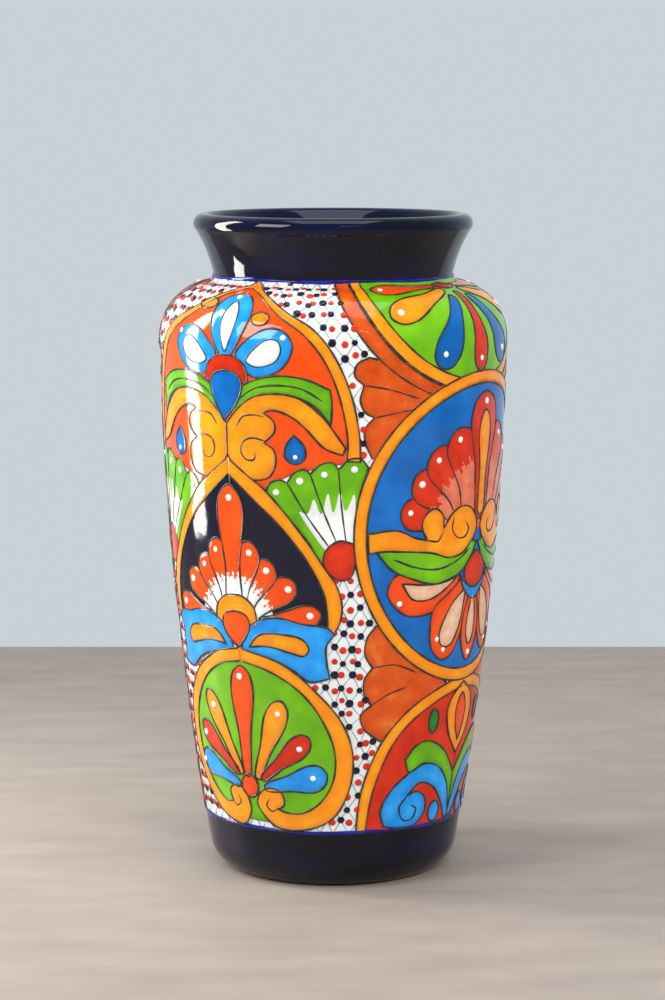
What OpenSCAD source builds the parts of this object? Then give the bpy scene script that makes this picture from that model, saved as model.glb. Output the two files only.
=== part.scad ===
/* [Body] */
// Height of the vase, foot to the top of the rim
vase_h = 400; // [320:1:500]
// Radius of the belly
belly_r = 105; // [92:0.5:126]
// Radius of the wall's long, slow curve from foot to belly
wall_curve_r = 2160; // [1800:10:2600]
// How far the shoulder's round reaches in past the neck's wall
shoulder_reach = 2.3; // [0:0.1:4]
// Thickness of the clay wall
clay_t = 7; // [5.5:0.1:8.5]

/* [Foot] */
// Radius of the wall just above the foot's rounding
foot_r = 76; // [63:0.5:92]
// Radius of the foot's rounding
foot_round_r = 20; // [16:0.5:24]
// Depth that the standing face cuts off that rounding
foot_cut = 1; // [0.8:0.1:1.4]
// Height of the ring of bare clay that the vase stands on
foot_ring_h = 5; // [4:0.1:6.5]
// Width of that ring's standing face
foot_ring_w = 16; // [12:0.5:20]
// Depth of the recess under the base
base_recess = 3; // [2.4:0.1:3.6]
// Thickness of the base slab
base_t = 9; // [7.5:0.5:11]
// Height of bare clay that shows under the foot's glaze
foot_reveal = 1.5; // [1:0.1:2.5]

/* [Neck and rim] */
// Outer radius of the neck, at its narrowest
neck_r = 72.5; // [62:0.5:87]
// Height from the top of the shoulder to the top of the rim
neck_h = 40.2; // [36:0.1:48.2]
// Thickness of the glazed neck at its narrowest
collar_t = 8; // [6.5:0.1:9.5]
// Length of the straight throat inside the neck
throat_h = 19; // [16:0.5:23]
// Radius of the hollow corner between shoulder and neck
neck_fillet_r = 4; // [3:0.1:5]
// Lean of the neck where it leaves that corner, in degrees
neck_lean = 12.5; // [8:0.5:15]
// How far the rolled rim stands out past the neck
rim_overhang = 12; // [10:0.1:14.5]
// Radius of the roll itself
roll_r = 6; // [5:0.1:7.2]

/* [Glaze] */
// Thickness of the glaze coats
glaze_t = 0.5; // [0.4:0.05:0.7]
// How much thicker the glaze lies at the foot of the throat, where it ran
glaze_run = 0.2; // [0.1:0.05:0.4]
// Thickness of the coloured enamels that lie on the body glaze
enamel_t = 0.3; // [0.2:0.05:0.5]
// Height of the cobalt band on the foot
foot_band_h = 36; // [30:1:44]
// Width of the yellow frames round the painted panels
frame_w = 7.5; // [6:0.1:9]

/* [Hidden] */
$fn = 64;
DEG = 180 / PI;
seam_drop = 20;              // the lower wall meets the shoulder this far under the belly
seam_lap = 6;                // height of the half-lap at that joint
seat_h = 3.2;                // depth of the seat that the collar stands in
spigot_w = 4;                // width of the collar's spigot inside the shoulder
slab_set = 4;                // the slab's edge, outside the centre of the foot's rounding
roll_join = -20;             // where the flare runs into the roll, as an angle on the roll
reach = 300;                 // larger than any radius, for cutting tools

// ---- curves ----
function unit(a) = [cos(a), sin(a)];
function angle_of(v) = atan2(v.y, v.x);
function flip(list) = [for (i = [len(list) - 1:-1:0]) list[i]];
function arc(c, r, a0, a1, n) = [for (i = [0:n]) c + r * unit(a0 + (a1 - a0) * i / n)];
// Where circle c0, r0 crosses circle c1, r1: side 1 is left of the line from c0 to c1, -1 right.
function crossing(c0, r0, c1, r1, side) =
    let (gap = norm(c1 - c0), u = (c1 - c0) / gap, along = (r0 * r0 - r1 * r1 + gap * gap) / (2 * gap))
    c0 + u * along + side * [-u.y, u.x] * sqrt(r0 * r0 - along * along);

// ---- the outline: foot arc, long wall arc and shoulder arc, each tangent to the next ----
foot_c = [foot_r - foot_round_r, foot_round_r - foot_cut];
shoulder_round_r = belly_r - neck_r + shoulder_reach;
shoulder_c = [belly_r - shoulder_round_r, vase_h - neck_h - shoulder_round_r];
wall_c = crossing(foot_c, wall_curve_r - foot_round_r, shoulder_c, wall_curve_r - shoulder_round_r, 1);
wall_a0 = angle_of(foot_c - wall_c);
wall_a1 = angle_of(shoulder_c - wall_c);
// The corner at the neck is tangent to the shoulder arc, and its narrowest point is at neck_r.
corner_c = let (r = neck_r + neck_fillet_r)
    [r, shoulder_c.y + sqrt(pow(shoulder_round_r + neck_fillet_r, 2) - pow(r - shoulder_c.x, 2))];
shoulder_a1 = angle_of(corner_c - shoulder_c);
neck_z = corner_c.y;         // the body glaze ends here and the neck's glaze begins

// The hollow corner at the neck at depth d: under its narrowest point, and above it.
function corner_below(d) = arc(corner_c, neck_fillet_r + d, 180 + shoulder_a1, 180, 5);
function corner_above(d) = arc(corner_c, neck_fillet_r + d, 180, 180 - neck_lean, 2);

// The outline moved inwards by d: 0 is the glazed surface, clay_out the clay under it.
function skin(d) = concat(
    arc(foot_c, foot_round_r - d, -88, wall_a0, 10),
    arc(wall_c, wall_curve_r - d, wall_a0, wall_a1, 14),
    arc(shoulder_c, shoulder_round_r - d, wall_a1, shoulder_a1, 14),
    corner_below(d)
);
// The same, for the inside: the shoulder's arc runs up to a level ceiling under the neck.
function hollow(d) = concat(
    arc(foot_c, foot_round_r - d, -88, wall_a0, 10),
    arc(wall_c, wall_curve_r - d, wall_a0, wall_a1, 14),
    arc(shoulder_c, shoulder_round_r - d, wall_a1, 90, 14)
);
clay_out = glaze_t;
clay_mid = glaze_t + clay_t / 2;
clay_in = glaze_t + clay_t;
lining = clay_in + glaze_t;
function ceiling_z(d) = shoulder_c.y + shoulder_round_r - d;

// ---- the neck and rim: hollow flare, roll, bell mouth and straight throat ----
throat_r = neck_r - collar_t;
throat_z0 = ceiling_z(lining);
throat_z1 = throat_z0 + throat_h;
roll_c = [neck_r + rim_overhang - roll_r, vase_h - roll_r];
// The flare's arc leaves the corner at neck_lean and runs into the roll at roll_join.
flare_dir = [cos(neck_lean), -sin(neck_lean)];
flare_start = corner_c - neck_fillet_r * flare_dir;
flare_r = let (v = roll_c + roll_r * unit(roll_join) - flare_start) (v * v) / (2 * v * flare_dir);
flare_c = flare_start + flare_r * flare_dir;
function flare_end(d) = crossing(flare_c, flare_r + d, roll_c, roll_r - d, 1);
function flare(d) = arc(flare_c, flare_r + d, 180 - neck_lean, angle_of(flare_end(d) - flare_c), 6);
// The mouth's arc is tangent to the throat and to the roll.
mouth_r = let (v = [throat_r, throat_z1] - roll_c) (roll_r * roll_r - v * v) / (2 * (v.x + roll_r));
mouth_c = [throat_r + mouth_r, throat_z1];
mouth_a = angle_of(roll_c - mouth_c);
function mouth(d) = arc(mouth_c, mouth_r - d, mouth_a, 180, 6);
function roll(d) = arc(roll_c, roll_r - d, angle_of(flare_end(d) - roll_c), mouth_a, 16);
// The neck's glazed surface at depth d, from the corner over the rim to the top of the throat.
function lip(d) = concat(corner_above(d), flare(d), roll(d), mouth(d));

// ---- 2D regions, right of the axis ----
module at_heights(z0, z1) {
    intersection() {
        children();
        translate([0, z0]) square([reach, z1 - z0]);
    }
}
// Everything inside the outline at depth d.
module core_2d(d, z0, z1) {
    at_heights(z0, z1) polygon(concat(skin(d), [[0, neck_z], [0, -1]]));
}
// Everything inside the hollow at depth d, up to its ceiling.
module hollow_2d(d, z0) {
    at_heights(z0, ceiling_z(d)) polygon(concat(hollow(d), [[0, ceiling_z(d)], [0, -1]]));
}
module coat_2d(z0, z1) {
    at_heights(z0, z1) polygon(concat(skin(0), flip(skin(clay_out))));
}

// ---- the clay, in the pieces that it is built from ----
base_r = foot_c.x + sqrt(pow(foot_round_r - clay_out, 2) - pow(foot_c.y, 2));
ring_in_r = base_r - foot_ring_w;
slab_r = foot_c.x + slab_set;
slab_top = base_recess + base_t;
seam_z = shoulder_c.y - seam_drop;

module foot_ring() {
    color("tan") rotate_extrude() difference() {
        core_2d(clay_out, 0, foot_ring_h);
        square([ring_in_r, foot_ring_h]);
    }
}
module base_slab() {
    color("peru") rotate_extrude() union() {
        translate([0, base_recess]) square([ring_in_r, foot_ring_h - base_recess]);
        translate([0, foot_ring_h]) square([slab_r, slab_top - foot_ring_h]);
    }
}
module lower_wall() {
    color("peru") rotate_extrude() difference() {
        core_2d(clay_out, foot_ring_h, seam_z + seam_lap);
        square([slab_r, slab_top]);
        hollow_2d(clay_in, slab_top);
        difference() {
            translate([0, seam_z]) square([reach, seam_lap]);
            core_2d(clay_mid, seam_z, seam_z + seam_lap);
        }
    }
}

seat_r = shoulder_c.x + (shoulder_round_r - clay_out) * cos(shoulder_a1);
seat_top = shoulder_c.y + (shoulder_round_r - clay_out) * sin(shoulder_a1);
seat_z = seat_top - seat_h;
spigot_r = throat_r + glaze_t + spigot_w;
throat_foot = [throat_r + glaze_t + glaze_run, ceiling_z(clay_in)];

module shoulder() {
    color("peru") rotate_extrude() difference() {
        core_2d(clay_out, seam_z, seat_top);
        hollow_2d(clay_in, seam_z);
        core_2d(clay_mid, seam_z, seam_z + seam_lap);
        square([spigot_r, vase_h]);
        translate([0, seat_z]) square([seat_r, vase_h]);
    }
}
module neck_collar() {
    color("peru") rotate_extrude() polygon(concat(
        [[spigot_r, ceiling_z(clay_in)], [spigot_r, seat_z], [seat_r, seat_z]],
        corner_below(clay_out),
        corner_above(clay_out),
        flare(clay_out),
        [roll_c],
        mouth(clay_out),
        [throat_foot]
    ));
}
module rim_roll() {
    color("peru") rotate_extrude() polygon(concat([roll_c], roll(clay_out)));
}

// ---- the glaze coats ----
module inner_glaze() {
    color("navy") rotate_extrude() difference() {
        hollow_2d(clay_in, slab_top);
        hollow_2d(lining, slab_top + glaze_t);
        translate([0, shoulder_c.y]) square([spigot_r, vase_h]);
    }
}
module foot_glaze() {
    color("midnightblue") rotate_extrude() coat_2d(foot_reveal, foot_band_h);
}
module body_glaze() {
    color("ivory") rotate_extrude() coat_2d(foot_band_h, neck_z);
}
module neck_glaze() {
    color("midnightblue") rotate_extrude() polygon(concat(
        lip(0),
        [[throat_r, throat_z0], [spigot_r, throat_z0], [spigot_r, throat_foot.y], throat_foot],
        flip(lip(clay_out))
    ));
}

// ---- the enamels: panels set out on a flat pattern, then wrapped round the wall ----
// The pattern's x runs round the vase, and its t up the outline from the foot band to the neck.
pattern_w = 628;
pattern_h = 345;
// Each column's place round the pattern, and how far it is squeezed where less room is left.
feather_columns = [[-64, 1], [255, 0.9]];
roundel_columns = [[101, 1], [410, 0.9]];
band_a = asin((foot_band_h - wall_c.y) / wall_curve_r);
wall_len = wall_curve_r * (wall_a1 - band_a) / DEG;
shoulder_len = shoulder_round_r * (shoulder_a1 - wall_a1) / DEG;
outline_len = wall_len + shoulder_len + neck_fillet_r * shoulder_a1 / DEG;
// The point of the outline that lies s up it from the foot band, as [radius, height].
function meridian(s) =
    s < wall_len ? wall_c + wall_curve_r * unit(band_a + s / wall_curve_r * DEG) :
    s < wall_len + shoulder_len ?
        shoulder_c + shoulder_round_r * unit(wall_a1 + (s - wall_len) / shoulder_round_r * DEG) :
    corner_c + neck_fillet_r * unit(180 + max(outline_len - s, 0) / neck_fillet_r * DEG);
// A panel's point, seen square on from in front of its column.
function on_wall(p) = let (m = meridian(p.y / pattern_h * outline_len))
    [m.x * sin(p.x / pattern_w * 360 * $squeeze), m.y];

// A smooth curve through points, n steps from each to the next.
function spline(pts, n) = let (last = len(pts) - 1) concat([for (i = [0:last - 1], j = [0:n - 1])
    let (a = pts[max(i - 1, 0)], b = pts[i], c = pts[i + 1], d = pts[min(i + 2, last)], s = j / n)
    b + (c - a) * s / 2 + (2 * a - 5 * b + 4 * c - d) * s * s / 2 + (3 * b - a - 3 * c + d) * s * s * s / 2
], [pts[last]]);
function mirrored(half) = concat(half, flip([for (p = half) if (p.x > 0.01) [-p.x, p.y]]));
// An outline with each point moved towards c by w.
function inward(pts, c, w) = [for (p = pts) p - (p - c) * (w / norm(p - c))];
function ellipse(c, rx, rt, n) = [for (i = [0:n - 1]) c + [rx * cos(360 * i / n), rt * sin(360 * i / n)]];

module outline(pts) {
    polygon([for (p = pts) on_wall(p)]);
}
// The 2D children, laid on the wall as an enamel of thickness t at each column.
module enamel(columns, t = enamel_t) {
    for (column = columns) {
        $squeeze = column[1];
        intersection() {
            rotate_extrude() at_heights(foot_band_h, neck_z) polygon(concat(skin(-t), flip(skin(0))));
            rotate([0, 0, column[0] / pattern_w * 360]) rotate([90, 0, 0]) linear_extrude(reach) children();
        }
    }
}
// The 3D children, cut back where a panel of another column lies over them.
module behind(columns, pts) {
    difference() {
        children();
        enamel(columns, enamel_t + 1) outline(pts);
    }
}

// Half outlines, top to bottom, for the panels of the feather columns.
roundel_c = [8, 56];
green_roundel = ellipse(roundel_c, 69, 55.5, 48);
navy_c = [0, 150];
navy_panel = mirrored(concat(
    spline([[0, 225], [21, 211], [40, 190], [55, 166], [64, 140], [64, 124]], 4),
    spline([[58, 121], [40, 124], [20, 122], [0, 114]], 3)
));
feather_c = [0, 270];
feather_panel = mirrored(concat(
    spline([[0, 341], [22, 332], [44, 314], [60, 290], [70, 262], [77, 228]], 4),
    spline([[70, 226], [48, 222], [24, 216], [0, 226]], 3)
));
wings = mirrored([
    [0, 118], [10, 128], [24, 133], [42, 131], [60, 126], [60, 108], [56, 94], [40, 92], [0, 108]
]);
fan_lobes = [[27, 208], [35, 215], [45, 219], [58, 224], [70, 224], [81, 221]];

module green_fan_2d() {
    outline(concat(spline(fan_lobes, 3), [[78, 200], [75, 180], [72, 160], [63, 160], [56, 176], [42, 196]]));
}

// Half outlines for the panels of the roundel columns.
blue_c = [0, 182];
blue_roundel = ellipse(blue_c, 88.5, 93.5, 56);
swag_c = [0, 345];
swag = mirrored(spline([[0, 268], [30, 269], [55, 279], [72, 298], [81, 322], [85, 350]], 4));
red_c = [0, 0];
red_panel = mirrored(spline([[0, 96], [24, 90], [46, 76], [64, 54], [75, 28], [79, -2]], 4));

module clear_of(pts) {
    difference() {
        children();
        outline(pts);
    }
}
module ground_of(pts, c) {
    outline(inward(pts, c, frame_w));
}
module rim_of(pts, c) {
    difference() {
        outline(pts);
        ground_of(pts, c);
    }
}
module both_sides() {
    children();
    mirror([1, 0]) children();
}

module feather_panel_frame() {
    color("orange") enamel(feather_columns) clear_of(navy_panel) rim_of(feather_panel, feather_c);
}
module feather_panel_ground() {
    color("orangered") enamel(feather_columns) clear_of(navy_panel)
        ground_of(feather_panel, feather_c);
}
module navy_panel_frame() {
    color("orange") enamel(feather_columns)
        clear_of(wings) clear_of(green_roundel) rim_of(navy_panel, navy_c);
}
module navy_panel_ground() {
    color("midnightblue") enamel(feather_columns) clear_of(wings) clear_of(green_roundel)
        ground_of(navy_panel, navy_c);
}
module blue_wings() {
    color("dodgerblue") enamel(feather_columns) clear_of(green_roundel) outline(wings);
}
module green_roundel_frame() {
    color("orange") enamel(feather_columns) rim_of(green_roundel, roundel_c);
}
module green_roundel_ground() {
    color("yellowgreen") enamel(feather_columns) ground_of(green_roundel, roundel_c);
}
module green_fans() {
    color("limegreen") behind(roundel_columns, blue_roundel)
        enamel(feather_columns) clear_of(navy_panel) clear_of(feather_panel) both_sides() green_fan_2d();
}

module swag_frame() {
    color("orange") enamel(roundel_columns) clear_of(blue_roundel) rim_of(swag, swag_c);
}
module swag_ground() {
    color("yellowgreen") enamel(roundel_columns) clear_of(blue_roundel) ground_of(swag, swag_c);
}
module blue_roundel_frame() {
    color("orange") enamel(roundel_columns) rim_of(blue_roundel, blue_c);
}
module blue_roundel_ground() {
    color("royalblue") enamel(roundel_columns) ground_of(blue_roundel, blue_c);
}
module red_panel_frame() {
    color("orange") enamel(roundel_columns) clear_of(blue_roundel) rim_of(red_panel, red_c);
}
module red_panel_ground() {
    color("firebrick") enamel(roundel_columns) clear_of(blue_roundel) ground_of(red_panel, red_c);
}

upper_fan = [[-30, 262], [-78, 284], [-86, 282], [-89, 274], [-84, 265], [-86, 257], [-82, 250],
    [-86, 243], [-84, 235], [-79, 230], [-60, 225]];
lower_fan = [[-10, 84], [-60, 88], [-73, 128], [-79, 120], [-78, 110], [-72, 103], [-78, 96], [-78, 87],
    [-74, 82], [-82, 76], [-83, 68], [-76, 64], [-64, 64], [-50, 70]];
module orange_fans() {
    color("darkorange") behind(feather_columns, feather_panel) behind(feather_columns, green_roundel)
        enamel(roundel_columns) clear_of(blue_roundel) clear_of(swag) clear_of(red_panel) both_sides() {
            outline(upper_fan);
            outline(lower_fan);
        }
}

foot_ring();
base_slab();
lower_wall();
shoulder();
neck_collar();
rim_roll();
inner_glaze();
foot_glaze();
body_glaze();
neck_glaze();
feather_panel_frame();
feather_panel_ground();
navy_panel_frame();
navy_panel_ground();
blue_wings();
green_roundel_frame();
green_roundel_ground();
green_fans();
swag_frame();
swag_ground();
blue_roundel_frame();
blue_roundel_ground();
red_panel_frame();
red_panel_ground();
orange_fans();
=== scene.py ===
# %% [markdown]
# # A talavera vase
# Talavera is tin-glazed earthenware: a clay body, turned on a wheel, gets a white glaze, and the
# pattern is brushed on it in thick mineral enamels before a second firing. The vase's shape comes
# from the CAD frame. What is added here is its skin: smooth glossy coats, raised enamel patches,
# brushed outlines and dots.

# %% Load the frame
import math
import random
import bmesh
import bpy
import numpy as np
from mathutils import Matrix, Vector
from mathutils.bvhtree import BVHTree
from mathutils.geometry import delaunay_2d_cdt


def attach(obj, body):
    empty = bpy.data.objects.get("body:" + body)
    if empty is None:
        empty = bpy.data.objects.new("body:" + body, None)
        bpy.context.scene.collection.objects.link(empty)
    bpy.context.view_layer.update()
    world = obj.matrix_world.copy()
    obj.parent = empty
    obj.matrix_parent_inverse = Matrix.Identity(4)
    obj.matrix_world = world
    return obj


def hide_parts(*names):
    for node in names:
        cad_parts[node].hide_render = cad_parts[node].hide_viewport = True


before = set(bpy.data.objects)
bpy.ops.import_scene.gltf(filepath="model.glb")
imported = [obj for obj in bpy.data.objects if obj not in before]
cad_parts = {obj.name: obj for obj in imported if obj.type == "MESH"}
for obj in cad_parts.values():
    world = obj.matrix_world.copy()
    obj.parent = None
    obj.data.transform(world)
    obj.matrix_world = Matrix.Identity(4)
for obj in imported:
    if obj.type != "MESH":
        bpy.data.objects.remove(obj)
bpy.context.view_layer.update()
MM = 0.001

# %% [markdown]
# ## Materials
# Every surface is fired glass or bare clay. Glaze is a thin layer of glass (IOR about 1.5) and
# mirror-smooth. A brush lays colour unevenly, so each enamel runs between a thin and a thick tone,
# in clouds some millimetres across, and it pools darker against its outline: patches carry that as
# the attribute "pool". Small helpers add a node, do a sum in a tree and turn hex to linear.

# %% Node helpers and colours
def add(tree, kind, inputs=None, **settings):
    """A new node with its settings, and its inputs set or linked."""
    node = tree.nodes.new(kind)
    for name, value in settings.items():
        setattr(node, name, value)
    for key, value in (inputs or {}).items():
        if isinstance(value, bpy.types.NodeSocket):
            tree.links.new(value, node.inputs[key])
        else:
            node.inputs[key].default_value = value
    return node


def reckon(tree, operation, *values):
    """A maths node's result."""
    return add(tree, "ShaderNodeMath", dict(enumerate(values)), operation=operation).outputs[0]


def linear(colour):
    """sRGB hex as linear RGBA."""
    parts = [int(colour[i:i + 2], 16) / 255 for i in (1, 3, 5)]
    return [p / 12.92 if p <= 0.04045 else ((p + 0.055) / 1.055) ** 2.4 for p in parts] + [1.0]


RIPPLE = 9 * MM
RIPPLE_DEPTH = 0.6 * MM
POOLED = 0.62


def fired(name, tones, cloud_mm, roughness=0.08, wave=0.2, stretch=(1, 1, 1), ior=1.5):
    """Fired glaze, enamel or clay: tones run from thin to thick in clouds of cloud_mm."""
    material = bpy.data.materials.new(name)
    material.use_nodes = True
    tree = material.node_tree
    shader = tree.nodes["Principled BSDF"]
    place = add(tree, "ShaderNodeTexCoord")
    turned = add(tree, "ShaderNodeMapping", {"Vector": place.outputs["Object"], "Scale": stretch})
    cloud = add(tree, "ShaderNodeTexNoise",
                {"Vector": turned.outputs[0], "Scale": 1 / (cloud_mm * MM), "Detail": 2.0,
                 "Roughness": 0.5})
    ramp = add(tree, "ShaderNodeValToRGB", {"Fac": cloud.outputs["Fac"]})
    ramp.color_ramp.elements[0].position = 0.25
    ramp.color_ramp.elements[1].position = 0.75
    ramp.color_ramp.elements[0].color = linear(tones[0])
    ramp.color_ramp.elements[1].color = linear(tones[-1])
    for i, tone in enumerate(tones[1:-1], 1):
        ramp.color_ramp.elements.new(0.25 + 0.5 * i / (len(tones) - 1)).color = linear(tone)
    ripple = add(tree, "ShaderNodeTexNoise",
                 {"Vector": place.outputs["Object"], "Scale": 1 / RIPPLE, "Detail": 1.0})
    bump = add(tree, "ShaderNodeBump",
               {"Height": ripple.outputs["Fac"], "Strength": wave, "Distance": RIPPLE_DEPTH})
    pool = add(tree, "ShaderNodeAttribute", attribute_name="pool")
    deep = [POOLED * c for c in linear(tones[-1])[:3]] + [1.0]
    pooled = add(tree, "ShaderNodeMix", {0: pool.outputs["Fac"], 6: ramp.outputs["Color"], 7: deep},
                 data_type="RGBA")
    tree.links.new(pooled.outputs[2], shader.inputs["Base Color"])
    tree.links.new(bump.outputs["Normal"], shader.inputs["Normal"])
    shader.inputs["Roughness"].default_value = roughness
    shader.inputs["IOR"].default_value = ior
    return material


# %% Glazes, enamels and clay
# Tin glaze: white made opaque by tin oxide, faintly blue where it is thin.
tin_white = fired("tin_white_glaze", ["#DFE7EA", "#EDF1F0"], 14)
# Cobalt glaze: nearly black where it pools, bluer where the brush left it thin, in rings.
cobalt = fired("cobalt_glaze", ["#080C34", "#04051A", "#03030D"], 60, 0.05, 0.2, (1, 1, 4), 1.42)
cobalt_wash = fired("cobalt_wash_inside", ["#123A8C", "#0A2060", "#060D33"], 40, 0.07)
# Enamels: antimony yellow, iron orange and red, copper green, cobalt blues, manganese outline.
yellow = fired("antimony_yellow_enamel", ["#FDA818", "#F8960A", "#F08606"], 14)
flame = fired("flame_orange_enamel", ["#F4600A", "#F04E05", "#EA4604"], 20)
green = fired("copper_green_enamel", ["#7CC60A", "#6AB204", "#58A002"], 18)
leaf = fired("leaf_green_enamel", ["#2E8A24", "#1F7A1E", "#146016"], 10)
blue = fired("cobalt_blue_enamel", ["#0674CE", "#0064B8", "#0056A2"], 22)
sky = fired("sky_blue_enamel", ["#34ACF8", "#1C98EE", "#0A84DC"], 12)
navy = fired("navy_enamel", ["#100E36", "#0A0926", "#06051A"], 16)
red = fired("iron_red_enamel", ["#DE3609", "#D02A06", "#C02004"], 12)
cloudy = fired("cloudy_orange_enamel", ["#E07430", "#D9580E", "#D04C06", "#C44404"], 11)
salmon = fired("salmon_wash", ["#E48A6C", "#DE7458", "#D45C3C"], 8)
peach = fired("peach_wash", ["#EFCDB4", "#E3AE8A"], 4)
slip = fired("white_slip", ["#E9EEEE", "#F3F5F3"], 5)
outline_ink = fired("outline_enamel", ["#3A4842", "#26312E", "#1B2422"], 4, 0.2)
# Earthenware: low-fired red-buff clay, dry and matt where no glaze covers it.
clay = fired("bare_earthenware", ["#C48A64", "#B87B56", "#A86D4B"], 3, 0.85, 0.5)
print("materials:", len(bpy.data.materials))

# %% The slot that each colour belongs to
# Each colour is listed under a slot: a wash with the enamel it thins, slip and peach with the white.
colours_of = {
    "white_glaze": [tin_white, slip, peach],
    "cobalt_glaze": [cobalt],
    "yellow_enamel": [yellow],
    "flame_enamel": [flame],
    "orange_enamel": [cloudy],
    "green_enamel": [green, leaf],
    "blue_enamel": [blue, sky],
    "navy_enamel": [navy, outline_ink],
    "red_enamel": [red, salmon]}
slot_of = {colour.name: slot for slot, colours in colours_of.items() for colour in colours}
print("slots for the painting:", len(colours_of))

# %% [markdown]
# ## Reading the turned outline
# The potter's wheel makes every coat a solid of revolution, so one line from foot to mouth holds its
# whole shape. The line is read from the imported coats: each ring of vertices that a level ray meets
# first is on the skin. A centripetal Catmull-Rom curve through the rings takes the facets away.

# %% Rings of a coat
def rings(node, inside=False):
    """(radius, height) of the node's rings that show from outside, or from the axis, by height."""
    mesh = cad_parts[node].data
    corners = [v.co for v in mesh.vertices]
    tree = BVHTree.FromPolygons(corners, [p.vertices[:] for p in mesh.polygons])
    away = Vector((math.cos(0.31), math.sin(0.31), 0))
    found = {}
    for co in corners:
        radius = math.hypot(co.x, co.y)
        for nudge in (-0.02 * MM, 0.02 * MM):
            start = away * (0 if inside else 0.3) + Vector((0, 0, co.z + nudge))
            hit = tree.ray_cast(start, away if inside else -away)[0]
            if hit and abs(math.hypot(hit.x, hit.y) - radius) < 0.25 * MM:
                found[(round(radius / MM, 1), round(co.z / MM, 1))] = (radius, co.z)
    return sorted(found.values(), key=lambda ring: ring[1])


def between(p, q, start, end, at):
    """Where a straight run that is at p at start and at q at end has got to."""
    return (p * (end - at) + q * (at - start)) / (end - start)


def through(points, step, closed=False):
    """A centripetal Catmull-Rom curve through points, cut about every step."""
    points = [np.array(p, float) for p in points]
    if closed:
        padded = [points[-1]] + points + [points[0], points[1]]
    else:
        padded = [2 * points[0] - points[1]] + points + [2 * points[-1] - points[-2]]
    curve = []
    for a, b, c, d in zip(padded, padded[1:], padded[2:], padded[3:]):
        knots = np.cumsum([0] + [max(math.dist(p, q), 1e-9) ** 0.5 for p, q in ((a, b), (b, c), (c, d))])
        count = max(1, round(math.dist(b, c) / step))
        for k in range(count):
            s = knots[1] + (knots[2] - knots[1]) * k / count
            ab = between(a, b, knots[0], knots[1], s)
            bc = between(b, c, knots[1], knots[2], s)
            cd = between(c, d, knots[2], knots[3], s)
            abc = between(ab, bc, knots[0], knots[2], s)
            bcd = between(bc, cd, knots[1], knots[3], s)
            curve.append(between(abc, bcd, knots[1], knots[2], s))
    if not closed:
        curve.append(points[-1])
    return np.array(curve)


def normals(line):
    """Unit normals on the right of a line, which is outwards on a line drawn upwards."""
    along = np.gradient(line, axis=0)
    across = np.stack([along[:, 1], -along[:, 0]], axis=1)
    return across / np.linalg.norm(across, axis=1)[:, None]


body_line = through(rings("body_glaze"), 1.5 * MM)
foot_line = through(rings("foot_glaze"), 1.0 * MM)
neck_out = rings("neck_glaze")
neck_in = [ring for ring in rings("neck_glaze", inside=True)[::-1] if ring not in neck_out]
neck_line = through(neck_out + neck_in, 0.8 * MM)
GLAZE = 0.5 * MM
for name, line in (("body", body_line), ("foot", foot_line), ("neck", neck_line)):
    print(name, len(line), "points, from", np.round(line[0] / MM, 1), "to", np.round(line[-1] / MM, 1))

# %% [markdown]
# ## Turning the coats
# Spinning by hand would leave a seam and a wrong-way wall, so a Geometry Nodes tree does it: a grid
# is rolled up, each column taking its places from the outline, and its seam is merged. Each coat has
# an inner wall half a millimetre in, so that it is a closed, thin shell like real glaze.

# %% A tree that turns an outline
def new_tree(name, **sockets):
    """An empty tree with a geometry in and out and these named inputs."""
    tree = bpy.data.node_groups.new(name, "GeometryNodeTree")
    tree.interface.new_socket("Geometry", in_out="INPUT", socket_type="NodeSocketGeometry")
    for label, kind in sockets.items():
        tree.interface.new_socket(label, in_out="INPUT", socket_type="NodeSocket" + kind)
    tree.interface.new_socket("Geometry", in_out="OUTPUT", socket_type="NodeSocketGeometry")
    return tree, add(tree, "NodeGroupInput").outputs


def end_tree(tree, geometry, material):
    """Realize, smooth, paint and put out."""
    real = add(tree, "GeometryNodeRealizeInstances", {"Geometry": geometry})
    smooth = add(tree, "GeometryNodeSetShadeSmooth", {"Geometry": real.outputs[0]})
    painted = add(tree, "GeometryNodeSetMaterial", {"Geometry": smooth.outputs[0], "Material": material})
    add(tree, "NodeGroupOutput", {0: painted.outputs[0]})


turning, given = new_tree("turned_coat", Segments="Int", Points="Int", Material="Material")
columns = reckon(turning, "ADD", given["Segments"], 1.0)
grid = add(turning, "GeometryNodeMeshGrid", {"Vertices X": columns, "Vertices Y": given["Points"]})
index = add(turning, "GeometryNodeInputIndex").outputs[0]
column = reckon(turning, "FLOOR", reckon(turning, "DIVIDE", index, given["Points"]))
row = reckon(turning, "MODULO", index, given["Points"])
angle = reckon(turning, "MULTIPLY", reckon(turning, "DIVIDE", column, given["Segments"]), 2 * math.pi)
here = add(turning, "GeometryNodeInputPosition")
sample = add(turning, "GeometryNodeSampleIndex",
             {"Geometry": given["Geometry"], "Value": here.outputs[0], "Index": row},
             data_type="FLOAT_VECTOR")
part = add(turning, "ShaderNodeSeparateXYZ", {0: sample.outputs[0]}).outputs
east = reckon(turning, "MULTIPLY", reckon(turning, "COSINE", angle), part["X"])
north = reckon(turning, "MULTIPLY", reckon(turning, "SINE", angle), part["X"])
spot = add(turning, "ShaderNodeCombineXYZ", {0: east, 1: north, 2: part["Z"]})
rolled = add(turning, "GeometryNodeSetPosition", {"Geometry": grid.outputs[0], "Position": spot.outputs[0]})
sewn = add(turning, "GeometryNodeMergeByDistance", {"Geometry": rolled.outputs[0], "Distance": 0.002 * MM})
end_tree(turning, sewn.outputs[0], given["Material"])


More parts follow.
